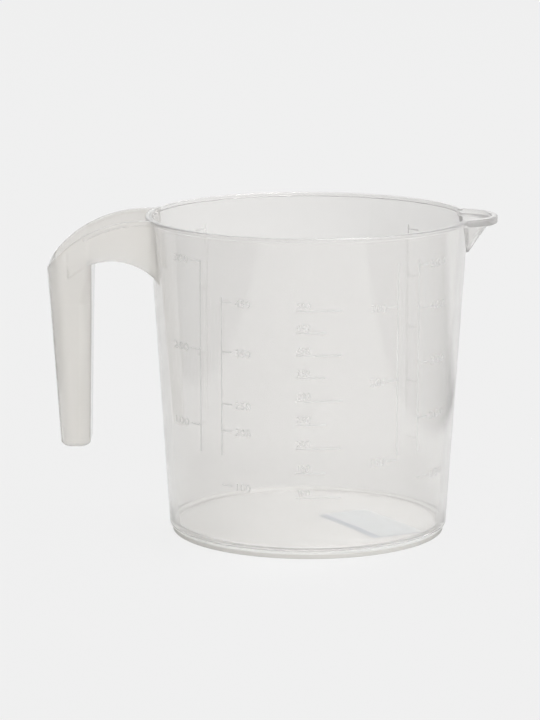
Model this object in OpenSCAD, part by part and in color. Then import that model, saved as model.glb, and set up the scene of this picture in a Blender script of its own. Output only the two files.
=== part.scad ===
// Small measuring jug of clear polypropylene, with a pouring spout, raised
// scales and a trough handle whose hollow grip hangs free at its lower end.
// Z is up, the spout points along +X and the handle along -X.
// The origin is on the jug's axis, at the level of the table.

/* [Body] */
// Outside diameter of the side wall at the rim
rim_d = 102; // [96:1:116]
// Outside diameter that the side wall's line has at table level
base_d = 89; // [82:1:94]
// Height of the rim above the table
jug_h = 102; // [96:1:130]
// Thickness of the side wall
wall_t = 1.1; // [0.8:0.1:1.6]
// Inside radius where the wall runs into the floor
corner_r = 7; // [4:0.5:8]
// Outside radius under the wall
under_r = 4; // [2:0.1:6]

/* [Floor and foot] */
// Height of the floor's underside above the table
floor_z = 0.7; // [0.4:0.1:3]
// Thickness of the floor at its edge
floor_t = 1.5; // [1.2:0.1:2.2]
// Depth of the shallow recess under the floor
recess_h = 0.3; // [0.1:0.1:0.6]
// Distance from the round corner in to the recess
recess_inset = 0.3; // [0.2:0.1:10]
// Distance that the foot ring stands in from the wall's line
foot_inset = 0.8; // [0.4:0.1:2]
// Thickness of the foot ring
foot_t = 1.2; // [0.8:0.1:2.5]
// Diameter of the moulding mark in the middle of the underside
gate_d = 5.6; // [3:0.1:8]
// Height of the moulding mark
gate_h = 0.6; // [0.3:0.1:0.8]
// Width of the moulding mark's ring
gate_t = 1; // [0.6:0.1:1.4]

/* [Rim] */
// Distance that the rim's bead stands out from the wall
bead_out = 1; // [0.5:0.1:2]
// Height of the rim's bead
bead_h = 1.4; // [1:0.1:3]
// Edge radius of the rim's bead
bead_round = 0.4; // [0.1:0.1:0.5]

/* [Spout] */
// Distance that the spout's lip reaches out from the wall
spout_reach = 9.3; // [6:0.1:14]
// Radius of the spout's lip, seen from above
spout_r = 14.3; // [12:0.1:20]
// Distance from the rim down to the point of the spout
spout_drop = 12; // [8:0.5:25]
// Distance that the point of the spout stands off the wall
spout_stand = 0.9; // [0.5:0.1:2]
// Thickness of the spout, measured level
spout_t = 1.1; // [0.8:0.1:1.6]
// Distance that the spout's lip stands out from the spout
lip_out = 0.9; // [0.5:0.1:2]
// Height of the spout's lip
lip_h = 2.4; // [1.4:0.1:4]
// Edge radius of the spout's lip
lip_round = 0.5; // [0.1:0.1:0.6]

/* [Handle bridge] */
// Outside width of the bridge
bridge_w = 29.2; // [24:0.2:36]
// Thickness of the bridge's two webs
web_t = 1.2; // [0.8:0.1:2]
// Thickness of the bridge's floor
bridge_t = 1.3; // [0.8:0.1:2]
// Radius of the handle's top curve
bridge_r = 38.6; // [34:0.2:60]
// Distance from the rim's wall to the start of the top curve
bridge_flat = 1; // [0:0.5:4]
// Radius of the arch above the fingers
arch_r = 19.3; // [17:0.1:22]
// Distance from the rim's wall out to the middle of the arch
arch_out = 11.3; // [9:0.1:13]
// Distance from the rim down to the crown of the arch
arch_drop = 12.9; // [10:0.1:20]
// Radius with which the webs flare out on to the wall
root_r = 5.5; // [3:0.5:8]
// Distance that the flange stands out from the webs
flange_out = 0.9; // [0.5:0.1:2]
// Height of the flange
flange_h = 1.4; // [1:0.1:3]
// Distance from the rim's wall to the outer end of the flange
flange_end = 20; // [16:0.5:24]

/* [Grip] */
// Distance from the rim's wall to the grip
grip_gap = 17.6; // [15:0.1:21]
// Depth of the grip at its shoulder, from the inner to the outer face
grip_d = 14.4; // [12:0.2:20]
// Depth of the grip at its lower end
grip_end_d = 9.4; // [8.4:0.2:12]
// Height of the shoulder, over which the bridge narrows to the grip
neck_h = 13; // [6:0.5:20]
// Length of the grip under its shoulder
grip_len = 47; // [30:1:52]
// Width of the grip under its shoulder
grip_w = 24; // [20:0.5:28]
// Width of the grip at its lower end
grip_end_w = 18; // [14:0.5:24]
// Distance that the inner face leans out, from the shoulder to the lower end
lean_in = 1.2; // [0:0.1:2.4]
// Thickness of the grip's wall
grip_t = 1.3; // [0.8:0.1:1.7]
// Corner radius of the grip's outer face at its shoulder
grip_round = 6; // [4:0.5:6.5]
// Corner radius of the grip's inner face at its shoulder
inner_round = 1.8; // [1.4:0.1:4]
// Corner radius of the grip at its lower end
end_round = 4; // [2:0.5:4.5]
// Height of the bevel round the lower end
end_bevel = 1; // [0.3:0.1:1.5]
// Diameter of the dimple in the lower end
dimple_d = 4; // [2:0.5:6]
// Depth of the dimple in the lower end
dimple_h = 0.5; // [0.2:0.1:0.8]

/* [Scales] */
// Distance from the rim down to the stroke for 500 ml
full_drop = 22.5; // [18:0.5:28]
// Height over the floor at which the scales start to count, because the floor's
// round corner takes up room
count_rise = 1.2; // [0:0.1:2]
// Height that the marks stand out from the wall
relief = 0.25; // [0.1:0.05:0.5]
// Width of every raised line
line_w = 0.4; // [0.2:0.1:0.8]
// Length of the long strokes of the middle scale
long_stroke = 14; // [8:0.5:18]
// Length of the short strokes of the middle scale
short_stroke = 9.2; // [5:0.1:12]
// Distance from the middle line to the left end of those strokes
stroke_start = 4.4; // [2:0.1:6]
// Length of the strokes beside the upright lines
side_stroke = 3.2; // [1:0.1:5]
// Distance from the rim's wall in to the outer upright lines, seen from the front
outer_line_in = 17.2; // [14:0.1:24]
// Distance between the outer and the inner upright lines
line_gap = 6.6; // [5:0.1:9]
// Volume in millilitres at which the upright lines start
low_ml = 175; // [170:5:225]
// Volume in millilitres at which the upright lines end
top_ml = 600; // [600:5:620]
// Volume in millilitres at which the left inner line ends
inner_top_ml = 520; // [515:5:600]

/* [Label] */
// Length of the paper label under the floor
label_l = 36.6; // [20:0.2:42]
// Width of the paper label
label_w = 18; // [10:0.2:22]
// Thickness of the paper label
label_t = 0.12; // [0.1:0.02:0.3]
// Gap between the label and the moulding mark
label_gap = 3.7; // [0.2:0.1:6]
// Gap between the label's outer corner and the edge of the recess
label_margin = 0.4; // [0.2:0.1:6]

/* [Hidden] */
$fn = 96;

// Frosted natural plastic and blue-white paper
frosted = [0.86, 0.86, 0.84];
frosted_edge = [0.80, 0.81, 0.80];
frosted_mark = [0.92, 0.92, 0.91];
paper = [0.86, 0.89, 0.93];

// One overrun for all cuts
over = 2;
// Layer of a hull's thin end slices
slice_h = 0.01;
hull_sides = 32;
spout_sides = 64;

// Body, worked out from the driving sizes
rim_r = rim_d / 2;
base_r = base_d / 2;
taper = (rim_r - base_r) / jug_h;
slant = sqrt(1 + taper * taper);
floor_top = floor_z + floor_t;
split_z = floor_top + corner_r + floor_t / 2;
foot_r = base_r - foot_inset;
flat_r = wall_r(floor_z) + taper * under_r - under_r * slant;
recess_r = flat_r - recess_inset;

// Spout
spout_x = rim_r + spout_reach - spout_r;
spout_tip_z = jug_h - spout_drop;
shell_r = spout_r - lip_out;
hollow_r = shell_r - spout_t;
// The hollow's point lies higher, so that the ridge keeps the spout's thickness
hollow_rise = spout_drop * spout_t / shell_r;

// Handle, in distances from the axis towards -X
grip_x = rim_r + grip_gap;
face_x = grip_x + grip_d;
curve_x = rim_r + bridge_flat;
curve_z = jug_h - bridge_r;
arch_x = rim_r + arch_out;
arch_z = jug_h - arch_drop - arch_r;
half_w = bridge_w / 2;
hollow_w = half_w - web_t;
root_y = half_w + root_r;
// The flare is set out at the height where the arch meets the wall
root_wall_r = wall_r(arch_z + arch_r / 2);
root_x = sqrt(pow(root_wall_r + root_r, 2) - root_y * root_y);
flange_x = rim_r + flange_end;
// The shoulder starts where the arch meets the grip
shoulder_z = arch_z + sqrt(arch_r * arch_r - pow(grip_x - arch_x, 2));
neck_z = shoulder_z - neck_h;
grip_end_z = neck_z - grip_len;
// Lean of the outer face, and the share of it that is reached at the neck's bottom
lean_out = grip_d - grip_end_d - lean_in;
neck_share = neck_h / (neck_h + grip_len);
tip_round = min(end_round, grip_end_d / 2);

// Upright lines of the scales, in distances from the middle line
outer_line = rim_r - outer_line_in;
inner_line = outer_line - line_gap;

// Volumes in millilitres at which each column has a stroke. The other columns
// are for loose goods, so their strokes lie at the volume that 100, 200 or more
// grams of them fill
full_ml = 500;
full_z = jug_h - full_drop;
count_z = floor_top + count_rise;
step_ml = 50;
long_ml = 2 * step_ml;
middle_ml = [for (ml = [long_ml:step_ml:full_ml]) ml];
left_outer_ml = [230, 395, 600];
left_inner_ml = [114, 227, 284, 398, 511];
right_inner_ml = [165, 335, 500];
right_outer_ml = [120, 245, 365, 490, 590];
back_left_ml = [150, 300, 450, 590];
back_right_ml = [120, 240, 360, 480, 590];

// The label's long edge runs from the middle out towards the front
label_turn = -62;
label_near = gate_d / 2 + label_gap;
label_far = sqrt(recess_r * recess_r - pow(label_near + label_w, 2)) - label_margin;

// Outside radius of the side wall at height z
function wall_r(z) = base_r + taper * z;

// Height to which a volume fills the jug: a cone's volume goes with the cube of
// its radius, and the stroke at full_z stands for full_ml
function fill_z(ml) =
  let (
    floor_cube = pow(wall_r(count_z) - wall_t, 3),
    full_cube = pow(wall_r(full_z) - wall_t, 3),
    fill_r = pow(floor_cube + (full_cube - floor_cube) * ml / full_ml, 1 / 3)
  )
  (fill_r + wall_t - base_r) / taper;

// Half outline of a bowl with a tapered side and a round bottom corner,
// whose side line has radius r0 at height z0
module bowl_outline(r0, z0, z1, round_r) {
  mid_r = r0 + taper * round_r - round_r * slant;
  side_r = mid_r + round_r / slant;
  side_z = z0 + round_r - round_r * taper / slant;
  polygon([[0, z0], [mid_r, z0], [side_r, side_z], [r0 + taper * (z1 - z0), z1], [0, z1]]);
  translate([mid_r, z0 + round_r]) circle(r = round_r);
}

module outer_outline(z1 = jug_h) {
  bowl_outline(wall_r(floor_z), floor_z, z1, under_r);
}

module inner_outline(z1 = jug_h + over) {
  bowl_outline(wall_r(floor_top) - wall_t, floor_top, z1, corner_r);
}

// Solid cone that fills the wall's outside, for trimming what joins the wall
module wall_cone() {
  cylinder(h = jug_h, r1 = base_r, r2 = rim_r);
  translate([0, 0, jug_h]) cylinder(h = over, r = rim_r);
}

// Rectangle with round outer corners, for a bead that stands out to r1
module bead_outline(r0, r1, z1, h, round_r) {
  translate([r0, z1 - h]) square([r1 - round_r - r0, h]);
  translate([r0, z1 - h + round_r]) square([r1 - r0, h - 2 * round_r]);
  for (z = [z1 - h + round_r, z1 - round_r]) translate([r1 - round_r, z]) circle(r = round_r);
}

// Slanted cone with a round top of radius r and its point at tip_x, tip_z
module spout_cone(r, tip_x, tip_z) {
  top_z = jug_h;
  n = spout_sides;
  ring = [for (i = [0:n - 1]) [spout_x + r * cos(360 * i / n), r * sin(360 * i / n), top_z]];
  polyhedron(
    points = concat(ring, [[tip_x, 0, tip_z]]),
    faces = concat([[for (i = [n - 1:-1:0]) i]], [for (i = [0:n - 1]) [i, (i + 1) % n, n]])
  );
}

module spout_outside() {
  spout_cone(shell_r, wall_r(spout_tip_z) + spout_stand, spout_tip_z);
}

module spout_hollow() {
  ridge_x = wall_r(spout_tip_z) + spout_stand - spout_t;
  tip_x = ridge_x + hollow_rise * (spout_reach - spout_stand) / spout_drop;
  spout_cone(hollow_r, tip_x, spout_tip_z + hollow_rise);
}

// Tapered side wall, open where the spout leaves it
module side_wall() {
  color(frosted)
  difference() {
    rotate_extrude() intersection() {
      difference() {
        outer_outline();
        inner_outline();
      }
      translate([0, split_z]) square([rim_d, jug_h]);
    }
    spout_hollow();
  }
}

// Floor with its round corner, up to where the straight wall starts
module base_floor() {
  color(frosted)
  difference() {
    rotate_extrude() intersection() {
      difference() {
        outer_outline();
        inner_outline();
      }
      square([rim_d, split_z]);
    }
    translate([0, 0, floor_z - over]) cylinder(h = over + recess_h, r = recess_r);
  }
}

// Ring that the jug stands on
module foot_ring() {
  color(frosted_edge)
  rotate_extrude() difference() {
    translate([foot_r - foot_t, 0]) square([foot_t, floor_z + under_r]);
    outer_outline();
  }
}

// Ring left under the floor by the moulding
module gate_mark() {
  color(frosted_mark)
  translate([0, 0, floor_z + recess_h - gate_h]) difference() {
    cylinder(h = gate_h, d = gate_d);
    translate([0, 0, -over]) cylinder(h = gate_h + 2 * over, d = gate_d - 2 * gate_t);
  }
}

// Full ring of the rim's bead, which reaches into the wall
module bead_ring() {
  rotate_extrude() bead_outline(rim_r - wall_t, rim_r + bead_out, jug_h, bead_h, bead_round);
}

// Bead round the rim, which stops at the spout's lip
module rim_bead() {
  color(frosted_edge)
  difference() {
    bead_ring();
    wall_cone();
    translate([spout_x, 0, jug_h - bead_h - over]) cylinder(h = bead_h + 2 * over, r = spout_r);
  }
}

// Shell of the spout outside the wall
module pour_spout() {
  color(frosted)
  difference() {
    spout_outside();
    spout_hollow();
    wall_cone();
  }
}

// Bead round the edge of the spout
module spout_lip() {
  color(frosted_edge)
  difference() {
    translate([spout_x, 0, 0]) rotate_extrude() {
      bead_outline(shell_r - lip_h, spout_r, jug_h, lip_h, lip_round);
    }
    spout_outside();
    wall_cone();
  }
}

// Draws an outline in x and z, with x towards the handle, across the whole width
module across(width) {
  rotate([90, 0, 0]) translate([0, 0, -width / 2]) linear_extrude(height = width) mirror([1, 0]) children();
}

// Draws an outline in x and y, with x towards the handle, over the bridge's height
module upright(z0, z1) {
  translate([0, 0, z0]) linear_extrude(height = z1 - z0) mirror([1, 0]) children();
}

// Side view of everything under the handle's top curve, lowered by drop
module under_curve(drop = 0) {
  translate([curve_x, curve_z]) circle(r = bridge_r - drop);
  square([curve_x, jug_h - drop]);
  square([face_x + over, curve_z]);
}

// Side view of the bridge from its arch, raised by lift, up to its top curve
module bridge_side(lift = 0) {
  difference() {
    under_curve();
    translate([arch_x, arch_z]) circle(r = arch_r + lift);
    square([face_x + over, arch_z]);
  }
}

// Plan of one web between two distances from its flare's centre
module web_plan(inner, outer) {
  intersection() {
    translate([root_x, -root_y]) difference() {
      circle(r = outer);
      circle(r = inner);
    }
    // The flare ends where it points at the jug's axis, and so touches the wall
    polygon([[root_x, -root_y], [0, 0], [root_x, 0]]);
  }
  translate([root_x, -root_y + inner]) square([grip_x - root_x, outer - inner]);
}

// Front web, with the flare that joins it to the wall
module front_web() {
  difference() {
    intersection() {
      upright(arch_z, jug_h) web_plan(root_r, root_r + web_t);
      across(2 * root_y) bridge_side();
    }
    wall_cone();
    bead_ring();
  }
}

module handle_front_web() {
  color(frosted) front_web();
}

module handle_back_web() {
  color(frosted) mirror([0, 1, 0]) front_web();
}

// Floor of the bridge, between the webs, bent over the arch
module handle_bridge_floor() {
  color(frosted)
  difference() {
    intersection() {
      upright(arch_z, jug_h) difference() {
        union() {
          translate([0, -hollow_w]) square([grip_x, 2 * hollow_w]);
          polygon([[0, 0], [root_x, -root_y], [root_x, root_y]]);
        }
        for (side = [-1, 1]) translate([root_x, side * root_y]) circle(r = root_r + web_t);
      }
      across(2 * root_y) difference() {
        translate([arch_x, arch_z]) circle(r = arch_r + bridge_t);
        translate([arch_x, arch_z]) circle(r = arch_r);
        square([face_x, arch_z]);
      }
    }
    wall_cone();
  }
}

// Flange along the top edge of the front web
module front_flange() {
  difference() {
    intersection() {
      upright(arch_z, jug_h) {
        web_plan(root_r - flange_out, root_r);
        translate([root_x, -half_w - flange_out]) square([flange_x - root_x, flange_out]);
      }
      across(2 * root_y) difference() {
        under_curve();
        under_curve(flange_h);
      }
    }
    wall_cone();
    bead_ring();
  }
}

module handle_front_flange() {
  color(frosted_edge) front_flange();
}

module handle_back_flange() {
  color(frosted_edge) mirror([0, 1, 0]) front_flange();
}

// Thin slice of the grip from x0 to x1, width w, at height z, shrunk by inset,
// with corner radii r0 towards the jug and r1 on the outer face
module grip_slice(x0, x1, w, z, r0, r1, inset) {
  for (end = [[x0 + r0, r0], [x1 - r1, r1]], side = [-1, 1])
    translate([-end.x, side * (w / 2 - end.y), z])
      cylinder(h = slice_h, r = end.y - inset, $fn = hull_sides);
}

module shoulder_slice(inset) {
  grip_slice(grip_x, face_x, bridge_w, shoulder_z, inner_round, grip_round, inset);
}

module neck_slice(inset) {
  x0 = grip_x + lean_in * neck_share;
  x1 = face_x - lean_out * neck_share;
  r1 = grip_round + (tip_round - grip_round) * neck_share;
  grip_slice(x0, x1, grip_w, neck_z, tip_round, r1, inset);
}

module end_slice(inset, z) {
  x0 = grip_x + lean_in;
  grip_slice(x0, x0 + grip_end_d, grip_end_w, z, tip_round, tip_round, inset);
}

// Shoulder and grip as one solid form, shrunk by inset
module grip_form(inset, end_z) {
  hull() {
    shoulder_slice(inset);
    neck_slice(inset);
  }
  hull() {
    neck_slice(inset);
    end_slice(inset, end_z);
  }
}

// Outer end of the bridge, over the grip's shoulder, shrunk by inset
module bridge_end(inset) {
  upright(shoulder_z, jug_h) {
    translate([grip_x + inset, inset - half_w])
      square([grip_d - grip_round - inset, bridge_w - 2 * inset]);
    translate([grip_x + inset, grip_round - half_w])
      square([grip_d - 2 * inset, bridge_w - 2 * grip_round]);
    for (side = [-1, 1])
      translate([face_x - grip_round, side * (half_w - grip_round)]) circle(r = grip_round - inset);
  }
}

// Hollow grip with the outer end of the bridge, open at the top
module grip_shell() {
  color(frosted)
  difference() {
    intersection() {
      union() {
        grip_form(0, grip_end_z + end_bevel + slice_h);
        bridge_end(0);
      }
      across(bridge_w) under_curve();
    }
    grip_form(grip_t, grip_end_z + grip_t);
    bridge_end(grip_t);
    // The trough runs on over the grip's inner face into the hollow
    intersection() {
      upright(shoulder_z, jug_h)
        translate([grip_x - over, -hollow_w]) square([grip_t + 2 * over, 2 * hollow_w]);
      across(bridge_w) bridge_side(bridge_t);
    }
    grip_floor_cut();
  }
}

// Everything lower than the grip's closed end
module grip_floor_cut() {
  translate([-face_x - over, -half_w, grip_end_z - over])
    cube([grip_d + 2 * over, bridge_w, over + grip_t]);
}

// Closed lower end of the grip, bevelled, with a dimple
module grip_end() {
  color(frosted_edge)
  difference() {
    intersection() {
      hull() {
        end_slice(end_bevel, grip_end_z);
        end_slice(0, grip_end_z + end_bevel);
        neck_slice(0);
      }
      grip_floor_cut();
    }
    translate([-(grip_x + lean_in + grip_end_d / 2), 0, grip_end_z - over])
      cylinder(h = over + dimple_h, d = dimple_d);
  }
}

// Keeps what is drawn inside only as a thin relief on the front of the wall
module on_wall() {
  intersection() {
    difference() {
      cylinder(h = jug_h, r1 = base_r + relief, r2 = rim_r + relief);
      cylinder(h = jug_h, r1 = base_r, r2 = rim_r);
    }
    children();
  }
}

// Level stroke on the front of the wall from x0 over a length, at height z
module stroke(x0, length, z) {
  translate([x0, -rim_d, z - line_w / 2]) cube([length, rim_d, line_w]);
}

// Upright line at x, up to end_ml, with strokes to one side: 1 towards the spout
// or -1 to the handle
module column(x, side, marks, end_ml = top_ml) {
  low_z = fill_z(low_ml);
  on_wall() {
    translate([x - line_w / 2, -rim_d, low_z]) cube([line_w, rim_d, fill_z(end_ml) + line_w / 2 - low_z]);
    for (ml = marks) stroke(side > 0 ? x : x - side_stroke, side_stroke, fill_z(ml));
  }
}

// Millilitre strokes in the middle of the front, longer at each full hundred
module ml_scale() {
  color(frosted_mark)
  on_wall() for (ml = middle_ml)
    stroke(-stroke_start, ml % long_ml == 0 ? long_stroke : short_stroke, fill_z(ml));
}

module left_outer_scale() {
  color(frosted_mark) column(-outer_line, -1, left_outer_ml);
}

module left_inner_scale() {
  color(frosted_mark) column(-inner_line, 1, left_inner_ml, inner_top_ml);
}

module right_inner_scale() {
  color(frosted_mark) column(inner_line, -1, right_inner_ml);
}

module right_outer_scale() {
  color(frosted_mark) column(outer_line, 1, right_outer_ml);
}

module back_left_scale() {
  color(frosted_mark) mirror([0, 1, 0]) column(-outer_line, -1, back_left_ml);
}

module back_right_scale() {
  color(frosted_mark) mirror([0, 1, 0]) column(outer_line, 1, back_right_ml);
}

// Blank paper label, stuck under the floor
module base_label() {
  color(paper)
  rotate([0, 0, label_turn])
    translate([label_far - label_l, label_near, floor_z + recess_h - label_t])
      cube([label_l, label_w, label_t]);
}

side_wall();
base_floor();
foot_ring();
gate_mark();
rim_bead();
pour_spout();
spout_lip();
handle_front_web();
handle_back_web();
handle_bridge_floor();
handle_front_flange();
handle_back_flange();
grip_shell();
grip_end();
ml_scale();
left_outer_scale();
left_inner_scale();
right_inner_scale();
right_outer_scale();
back_left_scale();
back_right_scale();
base_label();
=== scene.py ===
"""Visual model of a small measuring jug of frosted clear plastic.

Sizes in the classes are in millimetres, in the jug's own frame: Z is up, the spout
points along +X, the handle along -X, and the front with its scales faces -Y. They
become metres when a mesh or a finish is made. The studio's own sizes are in metres.
"""

import logging
import math
from dataclasses import dataclass, field
from enum import Enum

import bpy
import numpy as np
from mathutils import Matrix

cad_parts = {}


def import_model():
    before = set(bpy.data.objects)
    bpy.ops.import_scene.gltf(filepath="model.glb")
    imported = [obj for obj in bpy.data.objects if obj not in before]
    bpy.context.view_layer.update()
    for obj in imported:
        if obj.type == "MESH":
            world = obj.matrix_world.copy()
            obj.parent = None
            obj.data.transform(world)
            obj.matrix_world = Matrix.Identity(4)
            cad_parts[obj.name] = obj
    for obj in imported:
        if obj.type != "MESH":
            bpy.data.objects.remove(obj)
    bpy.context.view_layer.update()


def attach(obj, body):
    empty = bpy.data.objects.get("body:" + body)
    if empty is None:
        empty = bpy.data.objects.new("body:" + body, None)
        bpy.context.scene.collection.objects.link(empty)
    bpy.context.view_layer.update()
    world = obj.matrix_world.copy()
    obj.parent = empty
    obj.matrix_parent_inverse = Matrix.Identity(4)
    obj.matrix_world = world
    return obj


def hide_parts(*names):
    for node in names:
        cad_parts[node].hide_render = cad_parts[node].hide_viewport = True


LOG = logging.getLogger("measuring_jug")
METRES = 0.001
BODY = "root"

Array = np.ndarray
Object = bpy.types.Object
Material = bpy.types.Material
Socket = bpy.types.NodeSocket
Pair = tuple[float, float]
Triple = tuple[float, float, float]
Faces = list[tuple[int, ...]]


class Side(Enum):
    """Side of the jug that a scale stands on."""

    FRONT = -1
    BACK = 1


class Align(Enum):
    """End of a numeral that its place names."""

    LEFT = "LEFT"
    RIGHT = "RIGHT"


class NodeBook:
    """Adds nodes to one tree, with their sockets set by name or number."""

    def __init__(self, tree: bpy.types.NodeTree) -> None:
        """Keeps the tree of a material, a world or a geometry group, and empties it."""
        self.tree = tree
        tree.nodes.clear()

    def add(self, kind: str, inputs: dict | None = None, **settings: object) -> bpy.types.Node:
        """Adds one node.

        Args:
            kind: Blender's name for the type of node.
            inputs: socket name or number to a value, or to a socket to link from.
            **settings: properties of the node itself.

        Returns:
            The new node.
        """
        made = self.tree.nodes.new(kind)
        for name, value in settings.items():
            setattr(made, name, value)
        for key, value in (inputs or {}).items():
            socket = made.inputs[key]
            if isinstance(value, Socket):
                self.tree.links.new(value, socket)
            else:
                socket.default_value = value
        return made

    def out(
        self, kind: str, inputs: dict | None = None, output: int | str = 0, **settings: object
    ) -> Socket:
        """Adds one node and returns one of its outputs, the first unless another is named."""
        return self.add(kind, inputs, **settings).outputs[output]

    def math(self, operation: str, first: object, second: object = 0.0) -> Socket:
        """Adds a Math node of two numbers or sockets."""
        return self.out("ShaderNodeMath", {0: first, 1: second}, operation=operation)

    def ramp(
        self, value: Socket, start: float, end: float, low: object = 0.0, high: object = 1.0,
        **settings: object,
    ) -> Socket:
        """Runs from low to high, numbers or sockets, as a value goes from start to end."""
        ends = {0: value, 1: start, 2: end, 3: low, 4: high}
        return self.out("ShaderNodeMapRange", ends, **settings)

    def zone(self, value: Socket, ends: Pair) -> Socket:
        """Runs from 0 to 1 between two lengths in millimetres."""
        return self.ramp(value, ends[0] * METRES, ends[1] * METRES)

    def mix(self, share: Socket, first: Triple | Socket, second: Triple | Socket) -> Socket:
        """Adds a Mix node of two colours."""
        a, b = (c if isinstance(c, Socket) else (*c, 1.0) for c in (first, second))
        return self.out("ShaderNodeMix", {0: share, 6: a, 7: b}, 2, data_type="RGBA")

    def noise(self, place: Socket, size: float, detail: float) -> Socket:
        """Adds a Noise node with spots of about one size in millimetres."""
        inputs = {"Vector": place, "Scale": 1 / (size * METRES), "Detail": detail}
        return self.out("ShaderNodeTexNoise", inputs, "Fac")

    def bump(self, height: Socket, depth: float, **inputs: object) -> Socket:
        """Adds a Bump node with a depth in millimetres."""
        inputs = {"Strength": 1.0, "Distance": depth * METRES, "Height": height, **inputs}
        return self.out("ShaderNodeBump", inputs, "Normal")

    def place(self) -> Socket:
        """Returns the point in the object's own metres."""
        return self.out("ShaderNodeTexCoord", output="Object")

    def split(self, vector: Socket) -> list[Socket]:
        """Returns a vector's three parts."""
        return self.add("ShaderNodeSeparateXYZ", {0: vector}).outputs[:3]

    def length(self, vector: Socket) -> Socket:
        """Returns a vector's length."""
        return self.out("ShaderNodeVectorMath", {0: vector}, "Value", operation="LENGTH")

    def sight(self) -> Socket:
        """Tells rays that look, mirrored and bent ones too, from those that light.

        Returns:
            1 for a ray that looks and 0 for the rest.
        """
        path = self.add("ShaderNodeLightPath").outputs
        seen = self.math("MAXIMUM", path["Is Camera Ray"], path["Is Glossy Ray"])
        return self.math("MAXIMUM", seen, path["Is Transmission Ray"])


def new_material(name: str) -> tuple[Material, NodeBook]:
    """Makes an empty node material.

    Args:
        name: its name.

    Returns:
        The material and the book that fills its tree.
    """
    made = bpy.data.materials.new(name)
    made.use_nodes = True
    return made, NodeBook(made.node_tree)


@dataclass(frozen=True)
class FrostedPlastic:
    """Natural polypropylene: clear through a thin wall, with a faint haze and grain.

    The floor's edge and corner are duller, and the lowest part can have painted shade.
    """

    name: str
    tint: Triple = (0.922, 0.914, 0.904)
    edge_tint: Triple = (0.80, 0.795, 0.785)
    edge_power: float = 2.6
    clearness: float = 0.77
    ior: float = 1.49
    roughness: Pair = (0.02, 0.05)
    cloud_ends: Pair = (0.3, 0.7)
    cloud_size: float = 10.4
    corner_roughness: float = 0.3
    corner_r: Pair = (40.5, 42.5)
    corner_z: Pair = (3.0, 1.5)
    grain_size: float = 0.5
    grain_depth: float = 0.0025
    wave_size: float = 26.0
    wave_depth: float = 0.03
    lamp_pass: Triple = (0.93, 0.93, 0.92)
    # Painted shade: a darker band low on the piece, darker still at grazing angles, for the
    # floor's shade under the foot.
    low_tint: Triple | None = None
    low_edge: Triple = (0.30, 0.30, 0.29)
    low_z: Pair = (1.55, 1.25)

    def material(self) -> Material:
        """Builds the material's nodes.

        Returns:
            The material.
        """
        made, book = new_material(self.name)
        place = book.place()
        z = book.split(place)[2]
        clouds = book.noise(place, self.cloud_size, 3.0)
        roughness = book.ramp(clouds, *self.cloud_ends, *self.roughness)
        beside = book.zone(book.length(place), self.corner_r)
        corner = book.math("MULTIPLY", beside, book.zone(z, self.corner_z))
        rise = book.math("MULTIPLY", corner, self.corner_roughness)
        waves = book.bump(book.noise(place, self.wave_size, 1.0), self.wave_depth)
        grain = book.noise(place, self.grain_size, 2.0)
        slant = book.out("ShaderNodeLayerWeight", {"Blend": 0.5}, "Facing")
        slant = book.math("POWER", slant, self.edge_power)
        colour = book.mix(slant, self.tint, self.edge_tint)
        # Painted shade low on the piece, darker at grazing angles.
        if self.low_tint:
            band = book.mix(slant, self.low_tint, self.low_edge)
            colour = book.mix(book.zone(z, self.low_z), colour, band)
        shader = book.out(
            "ShaderNodeBsdfPrincipled",
            {
                "Base Color": colour,
                "Roughness": book.math("ADD", roughness, rise),
                "IOR": self.ior,
                "Transmission Weight": self.clearness,
                "Normal": book.bump(grain, self.grain_depth, Normal=waves),
            },
        )
        passing = book.out("ShaderNodeBsdfTransparent", {"Color": (*self.lamp_pass, 1.0)})
        lamp = book.out("ShaderNodeLightPath", output="Is Shadow Ray")
        surface = book.out("ShaderNodeMixShader", {0: lamp, 1: shader, 2: passing})
        book.add("ShaderNodeOutputMaterial", {"Surface": surface})
        return made


@dataclass(frozen=True)
class LabelPaper:
    """Thin blue-white paper with faint fibres, and a painted shadow as a darker strip along two
    edges.
    """

    name: str
    light: Triple = (0.84, 0.89, 0.94)
    dark: Triple = (0.79, 0.85, 0.92)
    # Painted shadow of the label: a dark blue strip inside its long near edge and its short end.
    strip: Triple = (0.24, 0.32, 0.45)
    roughness: Pair = (0.55, 0.75)
    fibre_size: float = 0.9
    fibre_depth: float = 0.02
    fibre_strength: float = 0.6
    turn: float = 62.0
    strip_y: Pair = (9.5, 9.1)
    strip_x: Pair = (30.8, 31.2)

    def material(self) -> Material:
        """Builds the material's nodes.

        Returns:
            The material.
        """
        made, book = new_material(self.name)
        place = book.place()
        fibres = book.noise(place, self.fibre_size, 5.0)
        turn = (0, 0, math.radians(self.turn))
        turned = book.out("ShaderNodeMapping", {"Vector": place, "Rotation": turn})
        along, across, _ = book.split(turned)
        # Painted shadow along the long near edge and the short end.
        side, end = book.zone(across, self.strip_y), book.zone(along, self.strip_x)
        paper = book.mix(fibres, self.dark, self.light)
        shader = book.out(
            "ShaderNodeBsdfPrincipled",
            {
                "Base Color": book.mix(book.math("MAXIMUM", side, end), paper, self.strip),
                "Roughness": book.ramp(fibres, 0.0, 1.0, *self.roughness),
                "Normal": book.bump(fibres, self.fibre_depth, Strength=self.fibre_strength),
            },
        )
        book.add("ShaderNodeOutputMaterial", {"Surface": shader})
        return made


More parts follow.
